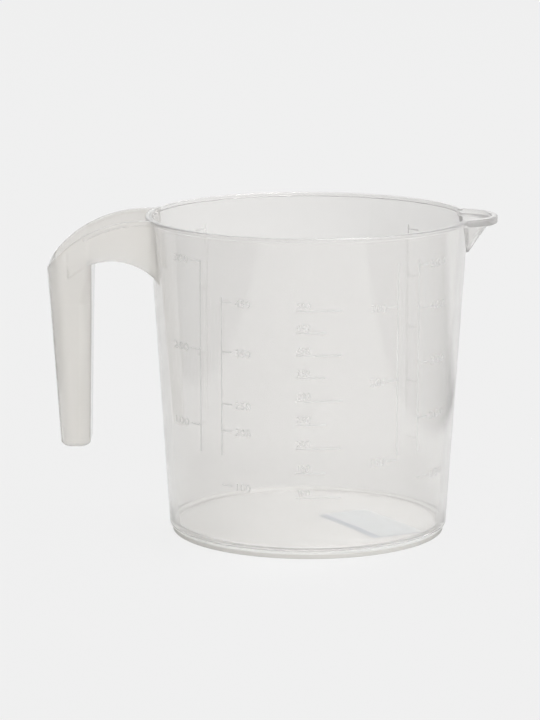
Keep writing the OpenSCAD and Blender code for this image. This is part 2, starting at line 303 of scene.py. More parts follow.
@dataclass(frozen=True)
class StudioFloor:
    """Plain pale floor, which keeps a soft shadow and shows pale in glass and gloss.

    In gloss it shows as a pale sheet with darker ground beside it and a painted shadow,
    a darker patch round the jug. The sheet's right edge leans, so it has a place and a
    slope. Sizes are in metres.
    """

    name: str = "studio_floor"
    colour: Triple = (0.868, 0.868, 0.868)
    own_light: float = 0.96
    own_under: float = 0.8
    under_r: Pair = (0.040, 0.085)
    sheet_left: float = -0.222
    sheet_right: float = 0.163
    sheet_slope: float = -0.278
    sheet_soft: float = 0.012
    # Painted shadow: in gloss the floor is darker within these radii in front of the jug.
    patch_r: Pair = (0.125, 0.160)
    patch_y: Pair = (-0.03, 0.02)
    behind_y: Pair = (0.15, 0.22)
    mirror_sheet: float = 1.0
    mirror_beside: float = 0.0
    mirror_patch: float = 0.1

    def mirrored(self, book: NodeBook, place: Socket) -> Socket:
        """Brightness with which the floor shows in gloss.

        Args:
            book: the material's nodes.
            place: point on the floor.

        Returns:
            The brightness.
        """
        x, y, _ = book.split(place)
        leaning = book.math("SUBTRACT", x, book.math("MULTIPLY", y, self.sheet_slope))
        right = book.math("SUBTRACT", leaning, self.sheet_right)
        over = book.math("MAXIMUM", right, book.math("SUBTRACT", self.sheet_left, x))
        soft, full = self.sheet_soft, self.mirror_sheet
        level = book.ramp(over, -soft, soft, full, self.mirror_beside)
        level = book.ramp(y, *self.behind_y, level, full)
        # Painted shadow of the jug, seen in gloss.
        shadow_patch = book.ramp(book.length(place), *self.patch_r, self.mirror_patch, full)
        shadow_patch = book.ramp(y, *self.patch_y, shadow_patch, full)
        return book.math("MINIMUM", level, shadow_patch)

    def material(self) -> Material:
        """Builds the material's nodes.

        Returns:
            The material.
        """
        made, book = new_material(self.name)
        place = book.place()
        own = book.ramp(
            book.length(place), *self.under_r, self.own_under, self.own_light,
            interpolation_type="SMOOTHSTEP",
        )
        share = book.math("MULTIPLY", book.sight(), own)
        path = book.add("ShaderNodeLightPath").outputs
        gloss = book.math("SUBTRACT", path["Is Glossy Ray"], path["Is Transmission Ray"])
        gloss = book.math("MAXIMUM", gloss, 0.0)
        change = book.math("SUBTRACT", self.mirrored(book, place), 1.0)
        strength = book.math("ADD", book.math("MULTIPLY", change, gloss), 1.0)
        colour = (*self.colour, 1.0)
        lit = book.out("ShaderNodeBsdfDiffuse", {"Color": colour})
        glow = book.out("ShaderNodeEmission", {"Color": colour, "Strength": strength})
        both = book.out("ShaderNodeMixShader", {0: share, 1: lit, 2: glow})
        book.add("ShaderNodeOutputMaterial", {"Surface": both})
        return made


def new_object(name: str, data: bpy.types.ID) -> Object:
    """Makes an object and links it to the scene.

    Args:
        name: its name.
        data: the mesh, light or camera that it holds.

    Returns:
        The object.
    """
    made = bpy.data.objects.new(name, data)
    bpy.context.scene.collection.objects.link(made)
    return made


def mesh_object(name: str, points: Array, faces: Faces, crease: float) -> Object:
    """Makes a smooth object at the origin from points in millimetres.

    Args:
        name: name of the object and its mesh.
        points: one row of x, y, z for each corner.
        faces: corner numbers of each face.
        crease: angle in degrees from which an edge is sharp.

    Returns:
        The object, linked to the scene.
    """
    mesh = bpy.data.meshes.new(name)
    mesh.from_pydata((points * METRES).tolist(), [], faces)
    mesh.validate(clean_customdata=False)
    face_outwards(mesh)
    shade(mesh, crease)
    return new_object(name, mesh)


def face_outwards(mesh: bpy.types.Mesh) -> None:
    """Turns every face of a closed mesh round if the volume inside is below zero.

    Args:
        mesh: mesh to look at.
    """
    mesh.calc_loop_triangles()
    corners = np.empty(len(mesh.loop_triangles) * 3, np.int64)
    mesh.loop_triangles.foreach_get("vertices", corners)
    points = np.empty(len(mesh.vertices) * 3)
    mesh.vertices.foreach_get("co", points)
    a, b, c = points.reshape(-1, 3)[corners.reshape(-1, 3)].transpose(1, 0, 2)
    if np.einsum("ij,ij->", a, np.cross(b, c)) < 0:
        mesh.flip_normals()


def joined_rings(start: int, rings: int, count: int) -> Faces:
    """Quads that join closed rings of corners, one ring after another.

    Args:
        start: number of the first ring's first corner.
        rings: number of rings.
        count: number of corners in a ring.

    Returns:
        The faces, ring by ring.
    """
    faces: Faces = []
    for a in range(start, start + (rings - 1) * count, count):
        for j in range(count):
            k = (j + 1) % count
            faces.append((a + j, a + count + j, a + count + k, a + k))
    return faces


def fan(tip: int, start: int, count: int) -> Faces:
    """Triangles that join one corner to a closed ring of corners."""
    return [(tip, start + j, start + (j + 1) % count) for j in range(count)]


def flipped(faces: Faces) -> Faces:
    """Faces turned round."""
    return [face[::-1] for face in faces]


def shade(mesh: bpy.types.Mesh, crease: float) -> None:
    """Shades a mesh smoothly, but for edges sharper than a crease in degrees."""
    mesh.shade_smooth()
    mesh.set_sharp_from_angle(angle=math.radians(crease))


def finish(made: Object, material: Material, slot: str, *nodes: str) -> None:
    """Dresses a piece, puts it on the jug's body and hides the CAD nodes that it stands for.

    Args:
        made: the piece.
        material: its material.
        slot: name of a material slot, not used.
        *nodes: CAD nodes that the piece replaces.
    """
    made.data.materials.clear()
    made.data.materials.append(material)
    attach(made, BODY)
    if nodes:
        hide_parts(*nodes)
    LOG.info("%s: %d faces", made.name, len(made.data.polygons))


def soft_max(blend: float, most: Array | float, *others: Array) -> Array:
    """Largest of some values, with a fillet where they are near each other.

    Args:
        blend: difference below which two values run into each other.
        most: first value.
        *others: values that it is compared with, one after another.

    Returns:
        The rounded maximum.
    """
    for other in others:
        near = np.maximum(blend - np.abs(most - other), 0) / blend
        most = np.maximum(most, other) + near * near * blend / 4
    return most


def soft_min(blend: float, a: Array, b: Array) -> Array:
    """Smaller of two values, with a fillet where they are near each other."""
    return -soft_max(blend, -a, -b)


@dataclass(frozen=True)
class WallCone:
    """Outside line of the tapered side wall, which all the pieces share."""

    rim_d: float = 102.0
    base_d: float = 89.0
    height: float = 102.0
    thickness: float = 1.1

    @property
    def taper(self) -> float:
        """Growth of the radius for each millimetre of height."""
        return (self.rim_d - self.base_d) / 2 / self.height

    @property
    def rim_r(self) -> float:
        """Radius of the wall at the rim."""
        return self.rim_d / 2

    def radius(self, z: Array | float) -> Array | float:
        """Outside radius at a height."""
        return self.base_d / 2 + self.taper * z

    def inner(self, z: Array | float) -> Array | float:
        """Inside radius at a height."""
        return self.radius(z) - self.thickness

    def wrap(self, flat: Array, side: Side) -> Array:
        """Lays flat points on the wall.

        Args:
            flat: rows of x, height above the wall, z.
            side: front or back of the jug.

        Returns:
            Rows of x, y, z.
        """
        x, out, z = flat.T
        y = side.value * np.sqrt((self.radius(z) + out) ** 2 - x * x)
        return np.stack([x, y, z], axis=1)


def arc(mid_r: float, mid_z: float, radius: float, angles: Array) -> list[Pair]:
    """Radius and height of points on a circle, at angles that grow from outwards to up."""
    return [(mid_r + radius * math.cos(a), mid_z + radius * math.sin(a)) for a in angles]


@dataclass
class JugShell:
    """Body of the jug: wall, floor, foot, rim bead and spout as one skin."""

    wall: WallCone
    under_z: float = 1.45
    under_r: float = 1.3
    corner_r: float = 2.8
    floor_z: float = 0.7
    floor_t: float = 1.5
    recess_h: float = 0.3
    recess_r: float = 40.49
    recess_edge: Pair = (0.1, 0.08)
    foot_in: float = 42.5
    foot_out: float = 43.7
    foot_round: float = 0.25
    gate_in: float = 1.8
    gate_out: float = 2.8
    gate_h: float = 0.6
    edge_soft: float = 0.12
    bead_out: float = 0.99
    bead_h: float = 1.4
    bead_round: float = 0.4
    spout_x: float = 46.0
    spout_shell_r: float = 13.4
    spout_hollow_r: float = 12.3
    spout_tip: Pair = (51.14, 90.0)
    hollow_tip: Pair = (50.73, 90.985)
    tip_round: float = 0.14
    tip_under: float = 0.5
    tip_back: float = 1.6
    lip_out: float = 0.9
    lip_h: float = 2.4
    lip_blend: float = 3.0
    lip_turn: float = 16.2
    edge_round: float = 0.3
    fillet: float = 0.8
    mouth_fillet: float = 3.0
    band_top: float = 2.45
    bead_start: float = 96.0

    def angles(self) -> Array:
        """Directions of the mesh's columns, close together round the spout.

        Returns:
            Angles from +X in radians.
        """
        turns = (np.arange(0, 3, 0.3), np.arange(3, 21, 0.45), np.linspace(21, 180, 124))
        half = np.radians(np.concatenate(turns))
        return np.concatenate([half, 2 * math.pi - half[-2:0:-1]])

    def far_side(self, theta: Array, centre: Array | float, radius: Array | float) -> Array:
        """Distance from the axis to the far side of a circle, or zero beside it.

        Args:
            theta: directions.
            centre: distance of the circle's centre along +X.
            radius: radius of the circle.

        Returns:
            One distance for each direction.
        """
        aside = centre * np.sin(theta)
        inside = radius * radius - aside * aside
        hit = (inside > 0) & (np.cos(theta) > 0)
        return np.where(hit, centre * np.cos(theta) + np.sqrt(np.maximum(inside, 0)), 0.0)

    def cone_section(self, z: Array, tip: Pair, top_r: float) -> tuple[Array, Array]:
        """Circle in which a level cuts one of the spout's slanted cones.

        Args:
            z: height.
            tip: x and z of the cone's point.
            top_r: radius at the rim.

        Returns:
            Distance of the centre and radius.
        """
        tip_x, tip_z = tip
        up = np.maximum((z - tip_z) / (self.wall.height - tip_z), 0)
        down = np.clip((tip_z - z) / self.tip_under, 0, 1)
        centre = tip_x + (self.spout_x - tip_x) * up - self.tip_back * down
        radius = np.hypot(top_r * up, self.tip_round)
        return centre, np.where(down < 1, radius, 0.0)

    def outside(self, theta: Array, z: Array) -> Array:
        """Distance of the outer skin from the axis, without the bead."""
        section = self.cone_section(z, self.spout_tip, self.spout_shell_r)
        return soft_max(self.fillet, self.wall.radius(z), self.far_side(theta, *section))

    def inside(self, theta: Array, z: Array) -> Array:
        """Distance of the inner skin from the axis."""
        section = self.cone_section(z, self.hollow_tip, self.spout_hollow_r)
        return soft_max(self.mouth_fillet, self.wall.inner(z), self.far_side(theta, *section))

    def bead(self, theta: Array, inset: float) -> Array:
        """Distance of the bead's outline from the axis, drawn in by inset."""
        far = self.far_side(theta, self.spout_x, self.spout_shell_r + self.lip_out - inset)
        return soft_max(2 * self.fillet, self.wall.rim_r + self.bead_out - inset, far)

    def mouth(self, theta: Array, outset: float) -> Array:
        """Distance of the mouth's edge from the axis, drawn out by outset."""
        far = self.far_side(theta, self.spout_x, self.spout_hollow_r + outset)
        return soft_max(self.mouth_fillet, self.wall.rim_r - self.wall.thickness + outset, far)

    def bead_bottom(self, theta: Array) -> Array:
        """Height of the bead's lower edge, which drops a little round the spout.

        Args:
            theta: directions.

        Returns:
            One height for each direction.
        """
        turn = np.degrees(np.abs((theta + math.pi) % (2 * math.pi) - math.pi))
        share = np.clip((self.lip_turn + self.lip_blend / 2 - turn) / self.lip_blend, 0, 1)
        share = share * share * (3 - 2 * share)
        return self.wall.height - self.bead_h - (self.lip_h - self.bead_h) * share

    def underside(self) -> list[Pair]:
        """Rings from the middle of the underside to the foot.

        Returns:
            Radius and height of each ring.
        """
        top = self.floor_z + self.recess_h
        low = top - self.gate_h
        soft = self.edge_soft
        near, far = self.gate_in, self.gate_out
        aside, above = self.recess_edge
        return [
            (0.9, top), (near - soft, top), (near, top - soft), (near, low + soft),
            (near + soft, low), (far - soft, low), (far, low + soft), (far, top - soft),
            (far + soft, top), *((r, top) for r in (5.0, 9.0, 15.0, 21.0, 27.0, 33.0)),
            (self.recess_r - soft, top), (self.recess_r, top - soft),
            (self.recess_r, self.floor_z + above), (self.recess_r + aside, self.floor_z),
        ]

    def resting(self, line: float, z: float, radius: float) -> Pair:
        """Centre of a circle that rests on height z and on the wall's slant, line wide there."""
        slant = math.hypot(1, self.wall.taper)
        return line + self.wall.taper * radius - radius * slant, z + radius

    def foot(self) -> list[Pair]:
        """Rings from the foot's inside to the wall.

        Returns:
            Radius and height of each ring.
        """
        line = self.wall.radius(self.under_z)
        mid_r, mid_z = self.resting(line, self.under_z, self.under_r)
        r = self.foot_round
        rings = arc(self.foot_in - r, self.floor_z - r, r, np.radians([90, 60, 30, 0]))
        rings += arc(self.foot_in + r, r, r, np.radians([180, 210, 240, 270]))
        rings += arc(self.foot_out - r, r, r, np.radians([-90, -60, -30, 0]))
        low = math.acos((self.foot_out - mid_r) / self.under_r)
        turns = np.linspace(low, math.atan(self.wall.taper), 7)
        return rings + arc(mid_r, mid_z, self.under_r, -turns)

    def upper_floor(self) -> list[Pair]:
        """Rings from the inside of the wall to the floor's middle.

        Returns:
            Radius and height of each ring.
        """
        top = self.floor_z + self.floor_t
        centre = self.resting(self.wall.inner(top), top, self.corner_r)
        turns = np.linspace(math.atan(self.wall.taper), math.pi / 2, 11)
        rings = arc(*centre, self.corner_r, -turns)
        return rings + [(r, top) for r in (40.5, 37.0, 33.0, 28.0, 23.0, 18.0, 12.0, 6.0, 2.0)]

    def rows(self, theta: Array) -> list[tuple[Array, Array]]:
        """Radius and height of every ring of the skin, from under the floor to above it.

        Args:
            theta: directions of the columns.

        Returns:
            Pairs of arrays with one value for each column.
        """
        one = np.ones_like(theta)
        rings = [(r * one, z * one) for r, z in self.underside() + self.foot()]
        plain = (self.band_top, *range(9, 73, 9), 80, 85, 88, 89, 89.35, 89.5, 89.6, 89.7, 89.85)
        spout = (*np.arange(90, 92, 0.25), *np.arange(92, self.bead_start, 0.5))
        rings += [(self.outside(theta, z * one), z * one) for z in plain + spout]
        low, top = self.bead_bottom(theta), self.wall.height * one
        for share in np.linspace(0, 1, 8):
            z = self.bead_start + (low - self.bead_start) * share
            rings.append((self.outside(theta, z), z))
        for outline, level, way, radius, turns in (
            (self.bead, low, 1, self.bead_round, (90, 60, 30, 0)),
            (self.bead, top, -1, self.bead_round, (0, 30, 60, 90)),
            (self.mouth, top, -1, self.edge_round, (90, 60, 30, 0)),
        ):
            for a in np.radians(turns):
                moved = outline(theta, radius * (1 - math.cos(a)))
                rings.append((moved, level + way * radius * (1 - math.sin(a))))
        spout = (*np.arange(101, 92, -0.5), *np.arange(92, 90.2, -0.2), 90.1)
        plain = (89, 85, 80, *range(72, 17, -9), 13)
        rings += [(self.inside(theta, z * one), z * one) for z in spout + plain]
        return rings + [(r * one, z * one) for r, z in self.upper_floor()]

    def dress_foot(self, shell: Object, foot: Material) -> None:
        """Gives the foot, and the thick edge of the floor above it, their own finish with painted
        glow and shade.

        Args:
            shell: the finished skin.
            foot: finish with painted glow and shade, from the foot's inside round to the band's
                top on the wall.
        """
        first = len(self.underside())
        last = first + len(self.foot())
        count = len(self.angles())
        shell.data.materials.append(foot)
        for number, face in enumerate(shell.data.polygons):
            if first <= number // count - 1 < last:
                face.material_index = 1

    def build(self) -> Object:
        """Makes the skin's mesh, ring by ring.

        Returns:
            The skin.
        """
        theta = self.angles()
        rings = self.rows(theta)
        count = len(theta)
        points = [np.array([[0, 0, self.floor_z + self.recess_h]])]
        points += [np.stack([r * np.cos(theta), r * np.sin(theta), z], axis=1) for r, z in rings]
        points.append(np.array([[0, 0, self.floor_z + self.floor_t]]))
        last = 1 + len(rings) * count
        faces = fan(0, 1, count) + joined_rings(1, len(rings), count)
        faces += flipped(fan(last, last - count, count))
        return mesh_object("jug_shell", np.concatenate(points), faces, crease=38)


def surface_net(values: Array, low: Array, step: float) -> tuple[Array, Faces]:
    """Closed mesh of quads where a grid of distances passes through zero.

    Args:
        values: distances at the grid's corners, below zero inside.
        low: the grid's lowest corner.
        step: size of a cell.

    Returns:
        Points and faces.
    """
    shape = np.array(values.shape) - 1
    inside = values < 0
    corners = [(i, j, k) for i in (0, 1) for j in (0, 1) for k in (0, 1)]
    held = sum(
        inside[i : i + shape[0], j : j + shape[1], k : k + shape[2]].astype(np.int8)
        for i, j, k in corners
    )
    cells = np.argwhere((held > 0) & (held < 8))
    number = np.full(tuple(shape), -1, np.int64)
    number[tuple(cells.T)] = np.arange(len(cells))
    total = np.zeros((len(cells), 3))
    hits = np.zeros(len(cells))
    for axis in range(3):
        for c in corners:
            if c[axis]:
                continue
            other = tuple(v + (n == axis) for n, v in enumerate(c))
            a = values[tuple((cells + c).T)]
            b = values[tuple((cells + other).T)]
            cross = (a < 0) != (b < 0)
            share = np.where(cross, a / np.where(cross, a - b, 1), 0)
            spot = np.tile(np.array(c, float), (len(cells), 1))
            spot[:, axis] += share
            total += spot * cross[:, None]
            hits += cross
    points = low + step * (cells + total / hits[:, None])
    faces: Faces = []
    for axis in range(3):
        u, v = (axis + 1) % 3, (axis + 2) % 3
        ahead = np.take(inside, range(1, inside.shape[axis]), axis)
        here = np.take(inside, range(inside.shape[axis] - 1), axis)
        spots = np.argwhere(ahead != here)
        good = (spots[:, u] > 0) & (spots[:, v] > 0)
        good &= (spots[:, u] < shape[u]) & (spots[:, v] < shape[v])
        spots = spots[good]
        back_u, back_v = np.eye(3, dtype=int)[[u, v]]
        ring = [spots, spots - back_u, spots - back_u - back_v, spots - back_v]
        quads = np.stack([number[tuple(r.T)] for r in ring], axis=1)
        flip = ~here[tuple(spots.T)]
        quads[flip] = quads[flip][:, ::-1]
        faces += [tuple(q) for q in quads.tolist()]
    return points, faces


@dataclass
class TroughHandle:
    """Trough-shaped bridge with its flared webs and flanges, and the hollow grip.

    Distances h run from the jug's axis towards -X. The curve over the top and the arch
    under it have their centres at h and z, and the webs' flared roots at h and y.
    """

    wall: WallCone
    step: float = 0.4
    web_t: float = 1.2
    floor_t: float = 1.3
    curve: Pair = (52.0, 63.4)
    curve_r: float = 38.6
    arch: Pair = (62.3, 69.8)
    arch_r: float = 19.3
    root: Pair = (51.0, 20.1)
    root_r: float = 5.5
    bridge_end: float = 76.0
    flange_out: float = 0.9
    flange_in: float = 0.6
    flange_h: float = 1.4
    flange_end: float = 71.0
    flange_soft: float = 0.21
    grip_t: float = 1.3
    trough_end: float = 71.9
    bevel: float = 1.0
    dimple_r: float = 2.0
    dimple_h: float = 0.5
    sunk: float = 0.3
    soft: float = 0.35
    top: float = 101.98
    box: tuple[Triple, Triple] = ((-84.2, -21.1, 27.0), (-44.5, 21.1, 103.2))
    probe: float = 0.02
    least_slope: float = 0.25
    most_push: float = 0.3
    rounds: int = 8
    last_rounds: int = 2
    # Height, inner face, outer face, width, inner and outer corner radius of the grip
    slices: tuple[tuple[float, ...], ...] = (
        (28.04, 69.8, 79.2, 18.0, 4.0, 4.0),
        (75.04, 68.86, 82.18, 24.0, 4.0, 5.57),
        (88.04, 68.6, 83.0, 29.2, 1.8, 6.0),
        (104.0, 68.6, 83.0, 29.2, 1.8, 6.0),
    )

    def grip_outline(self, h: Array, y: Array, z: Array) -> Array:
        """Distance from the grip's outer face, measured level, below zero inside.

        Args:
            h: distance from the jug's axis.
            y: distance to the side.
            z: height.

        Returns:
            One distance for each point.
        """
        heights = [s[0] for s in self.slices]
        x0, x1, width, r0, r1 = (
            np.interp(z, heights, [s[n] for s in self.slices]) for n in range(1, 6)
        )
        mid = (x0 + x1) / 2
        radius = np.where(h < mid, r0, r1)
        a = np.abs(h - mid) - (x1 - x0) / 2 + radius
        b = np.abs(y) - width / 2 + radius
        out = np.hypot(np.maximum(a, 0), np.maximum(b, 0))
        return out + np.minimum(np.maximum(a, b), 0) - radius

    def distance(self, points: Array) -> Array:
        """Distance from the handle's surface, below zero inside the plastic.

        Args:
            points: rows of x, y, z.

        Returns:
            One distance for each row.
        """
        h, y, z = -points[:, 0], np.abs(points[:, 1]), points[:, 2]
        soft = self.soft
        root_x, root_y = self.root
        flare = np.where(h < root_x, np.hypot(h - root_x, y - root_y), root_y - y)
        beside = self.root_r - flare
        on_curve = np.hypot(np.maximum(h - self.curve[0], 0), np.maximum(z - self.curve[1], 0))
        under_top = on_curve - self.curve_r
        over_arch = self.arch_r - np.hypot(h - self.arch[0], z - self.arch[1])
        wedge = (y * root_x - h * root_y) / math.hypot(root_x, root_y)
        bridge = soft_max(soft, np.maximum(beside, wedge), under_top, over_arch)
        bridge = np.maximum(bridge, np.maximum(self.arch[1] - z, h - self.bridge_end))
        grip = self.grip_outline(h, y, z)
        low = self.slices[0][0]
        bevelled = (grip + low + self.bevel - z) / math.sqrt(2)
        outer = soft_min(soft, soft_max(soft, grip, bevelled, low - z, under_top), bridge)
        flange = np.maximum(beside - self.flange_out, -beside - self.flange_in)
        height = np.maximum(under_top, -under_top - self.flange_h)
        flange = np.maximum(soft_max(soft, flange, height, h - self.flange_end), wedge)
        outer = soft_min(self.flange_soft, outer, flange)
        trough = soft_max(2 * soft, beside + self.web_t, over_arch + self.floor_t)
        trough = np.maximum(soft_max(soft, trough, h - self.trough_end), self.arch[1] - z)
        hollow = soft_max(2 * soft, grip + self.grip_t, low + self.grip_t - z)
        mid_x = (self.slices[0][1] + self.slices[0][2]) / 2
        dimple = np.hypot(h - mid_x, y) - self.dimple_r
        dimple = soft_max(soft, dimple, z - low - self.dimple_h)
        shell = soft_max(soft, outer, -soft_min(soft, trough, hollow), -dimple)
        return np.maximum(shell, self.wall.radius(z) - self.sunk - np.hypot(h, y))

    def gradient(self, points: Array) -> Array:
        """Direction in which the distance grows.

        Args:
            points: rows of x, y, z.

        Returns:
            One row for each point.
        """
        shifts = np.eye(3) * self.probe
        rises = [self.distance(points + s) - self.distance(points - s) for s in shifts]
        return np.stack(rises, axis=1) / (2 * self.probe)

    def settle(self, points: Array, faces: Faces) -> Array:
        """Spreads the points evenly and moves them on to the surface.

        Args:
            points: rows of x, y, z.
            faces: quads that join them.

        Returns:
            The moved points.
        """
        quads = np.array(faces)
        pairs = np.concatenate([quads[:, [n, (n + 1) % 4]] for n in range(4)])
        here, there = np.concatenate([pairs, pairs[:, ::-1]]).T
        count = np.bincount(here)[:, None]
        for turn in range(self.rounds):
            slope = self.gradient(points)
            size = np.maximum(np.einsum("ij,ij->i", slope, slope), self.least_slope)
            if turn < self.rounds - self.last_rounds:
                total = np.zeros_like(points)
                np.add.at(total, here, points[there])
                move = 0.5 * (total / count - points)
                move -= slope * (np.einsum("ij,ij->i", move, slope) / size)[:, None]
                points = points + move
            push = np.clip(self.distance(points) / size, -self.most_push, self.most_push)
            points = points - slope * push[:, None]
        return points

    def build(self) -> Object:
        """Makes the handle's mesh.

        Returns:
            The handle.
        """
        axes = [np.arange(a, b, self.step) for a, b in zip(*self.box)]
        grid = np.stack(np.meshgrid(*axes, indexing="ij"), axis=-1)
        values = self.distance(grid.reshape(-1, 3)).reshape(grid.shape[:3])
        points, faces = surface_net(values, np.array(self.box[0]), self.step)
        points = self.settle(points, faces)
        points[:, 2] = np.minimum(points[:, 2], self.top)
        return mesh_object("jug_handle", points, faces, crease=50)


@dataclass
class StrokeTree:
    """Geometry Nodes group that turns edges drawn flat into raised lines on the wall."""

    wall: WallCone
    material: Material
    line_w: float = 0.45
    relief: float = 0.06
    sunk: float = 0.01
    step: float = 0.8
    tube_sides: int = 12
    edge_power: float = 3.0
    tree: bpy.types.NodeTree | None = None
    sockets: dict[str, str] = field(default_factory=dict)

    def add_input(self, name: str, kind: str, value: float | None = None) -> None:
        """Adds one named input to the group.

        Args:
            name: its name.
            kind: end of Blender's name for its type of socket.
            value: what it holds unless a modifier sets it.
        """
        made = self.tree.interface.new_socket(
            name=name, in_out="INPUT", socket_type="NodeSocket" + kind
        )
        if value is not None:
            made.default_value = value
        self.sockets[name] = made.identifier

    def build(self) -> None:
        """Builds the group's inputs and nodes."""
        self.tree = bpy.data.node_groups.new("raised_lines", "GeometryNodeTree")
        self.tree.interface.new_socket(
            name="Raised", in_out="OUTPUT", socket_type="NodeSocketGeometry"
        )
        lengths = {
            "Line Width": self.line_w, "Relief": self.relief, "Sunk": self.sunk,
            "Step": self.step, "Base Radius": self.wall.radius(0),
        }
        self.add_input("Lines", "Geometry")
        for name, length in lengths.items():
            self.add_input(name, "Float", length * METRES)
        self.add_input("Taper", "Float", self.wall.taper)
        self.add_input("Side", "Float", float(Side.FRONT.value))
        self.add_input("Finish", "Material")
        book = NodeBook(self.tree)
        given = book.add("NodeGroupInput").outputs
        half = book.math("DIVIDE", given["Line Width"], 2.0)
        curve = book.out("GeometryNodeMeshToCurve", {0: given["Lines"]})
        curve = book.out(
            "GeometryNodeResampleCurve", {"Curve": curve, "Length": given["Step"]}, mode="LENGTH"
        )
        ring = book.out(
            "GeometryNodeCurvePrimitiveCircle", {"Resolution": self.tube_sides, "Radius": half}
        )
        tubes = book.out(
            "GeometryNodeCurveToMesh", {"Curve": curve, "Profile Curve": ring, "Fill Caps": True}
        )
        x, out, z = book.split(book.out("GeometryNodeInputPosition"))
        share = book.math("MAXIMUM", book.math("DIVIDE", out, half), 0.0)
        out = book.math("MULTIPLY", book.math("POWER", share, self.edge_power), given["Relief"])
        out = book.math("SUBTRACT", out, given["Sunk"])
        radius = book.math("ADD", book.math("MULTIPLY", z, given["Taper"]), given["Base Radius"])
        radius = book.math("ADD", radius, out)
        y = book.math("SUBTRACT", book.math("POWER", radius, 2.0), book.math("POWER", x, 2.0))
        y = book.math("MULTIPLY", book.math("SQRT", y), given["Side"])
        placed = book.out("ShaderNodeCombineXYZ", {0: x, 1: y, 2: z})
        wrapped = book.out("GeometryNodeSetPosition", {"Geometry": tubes, "Position": placed})
        whole = book.out("GeometryNodeRealizeInstances", {0: wrapped})
        dressing = {"Geometry": whole, "Material": given["Finish"]}
        book.add("NodeGroupOutput", {0: book.out("GeometryNodeSetMaterial", dressing)})

    def raised(self, name: str, flat: list[Triple], side: Side) -> Object:
        """Makes raised lines from edges drawn flat.

        Args:
            name: name of the lines.
            flat: both ends of each edge in turn, as x, 0, z.
            side: side of the jug that they lie on.

        Returns:
            The lines as one plain mesh.
        """
        mesh = bpy.data.meshes.new(name + "_flat")
        edges = [(n, n + 1) for n in range(0, len(flat), 2)]
        mesh.from_pydata((np.array(flat) * METRES).tolist(), edges, [])
        drawn = new_object(name + "_flat", mesh)
        modifier = drawn.modifiers.new("raise", "NODES")
        modifier.node_group = self.tree
        modifier[self.sockets["Side"]] = float(side.value)
        modifier[self.sockets["Finish"]] = self.material
        depsgraph = bpy.context.evaluated_depsgraph_get()
        baked = bpy.data.meshes.new_from_object(drawn.evaluated_get(depsgraph))
        bpy.data.objects.remove(drawn)
        face_outwards(baked)
        shade(baked, crease=50)
        return new_object(name, baked)


@dataclass
class Column:
    """One scale: strokes, an upright line if it has one, and its numerals.

    Strokes are named by their volume in millilitres. A numeral may be another number
    than its stroke's volume, as the columns for loose goods count grams.
    """

    node: str
    side: Side
    strokes: dict[int, Pair]
    upright: Triple | None = None
    numerals: tuple[tuple[str, float, float, Align], ...] = ()
    text_h: float = 2.4


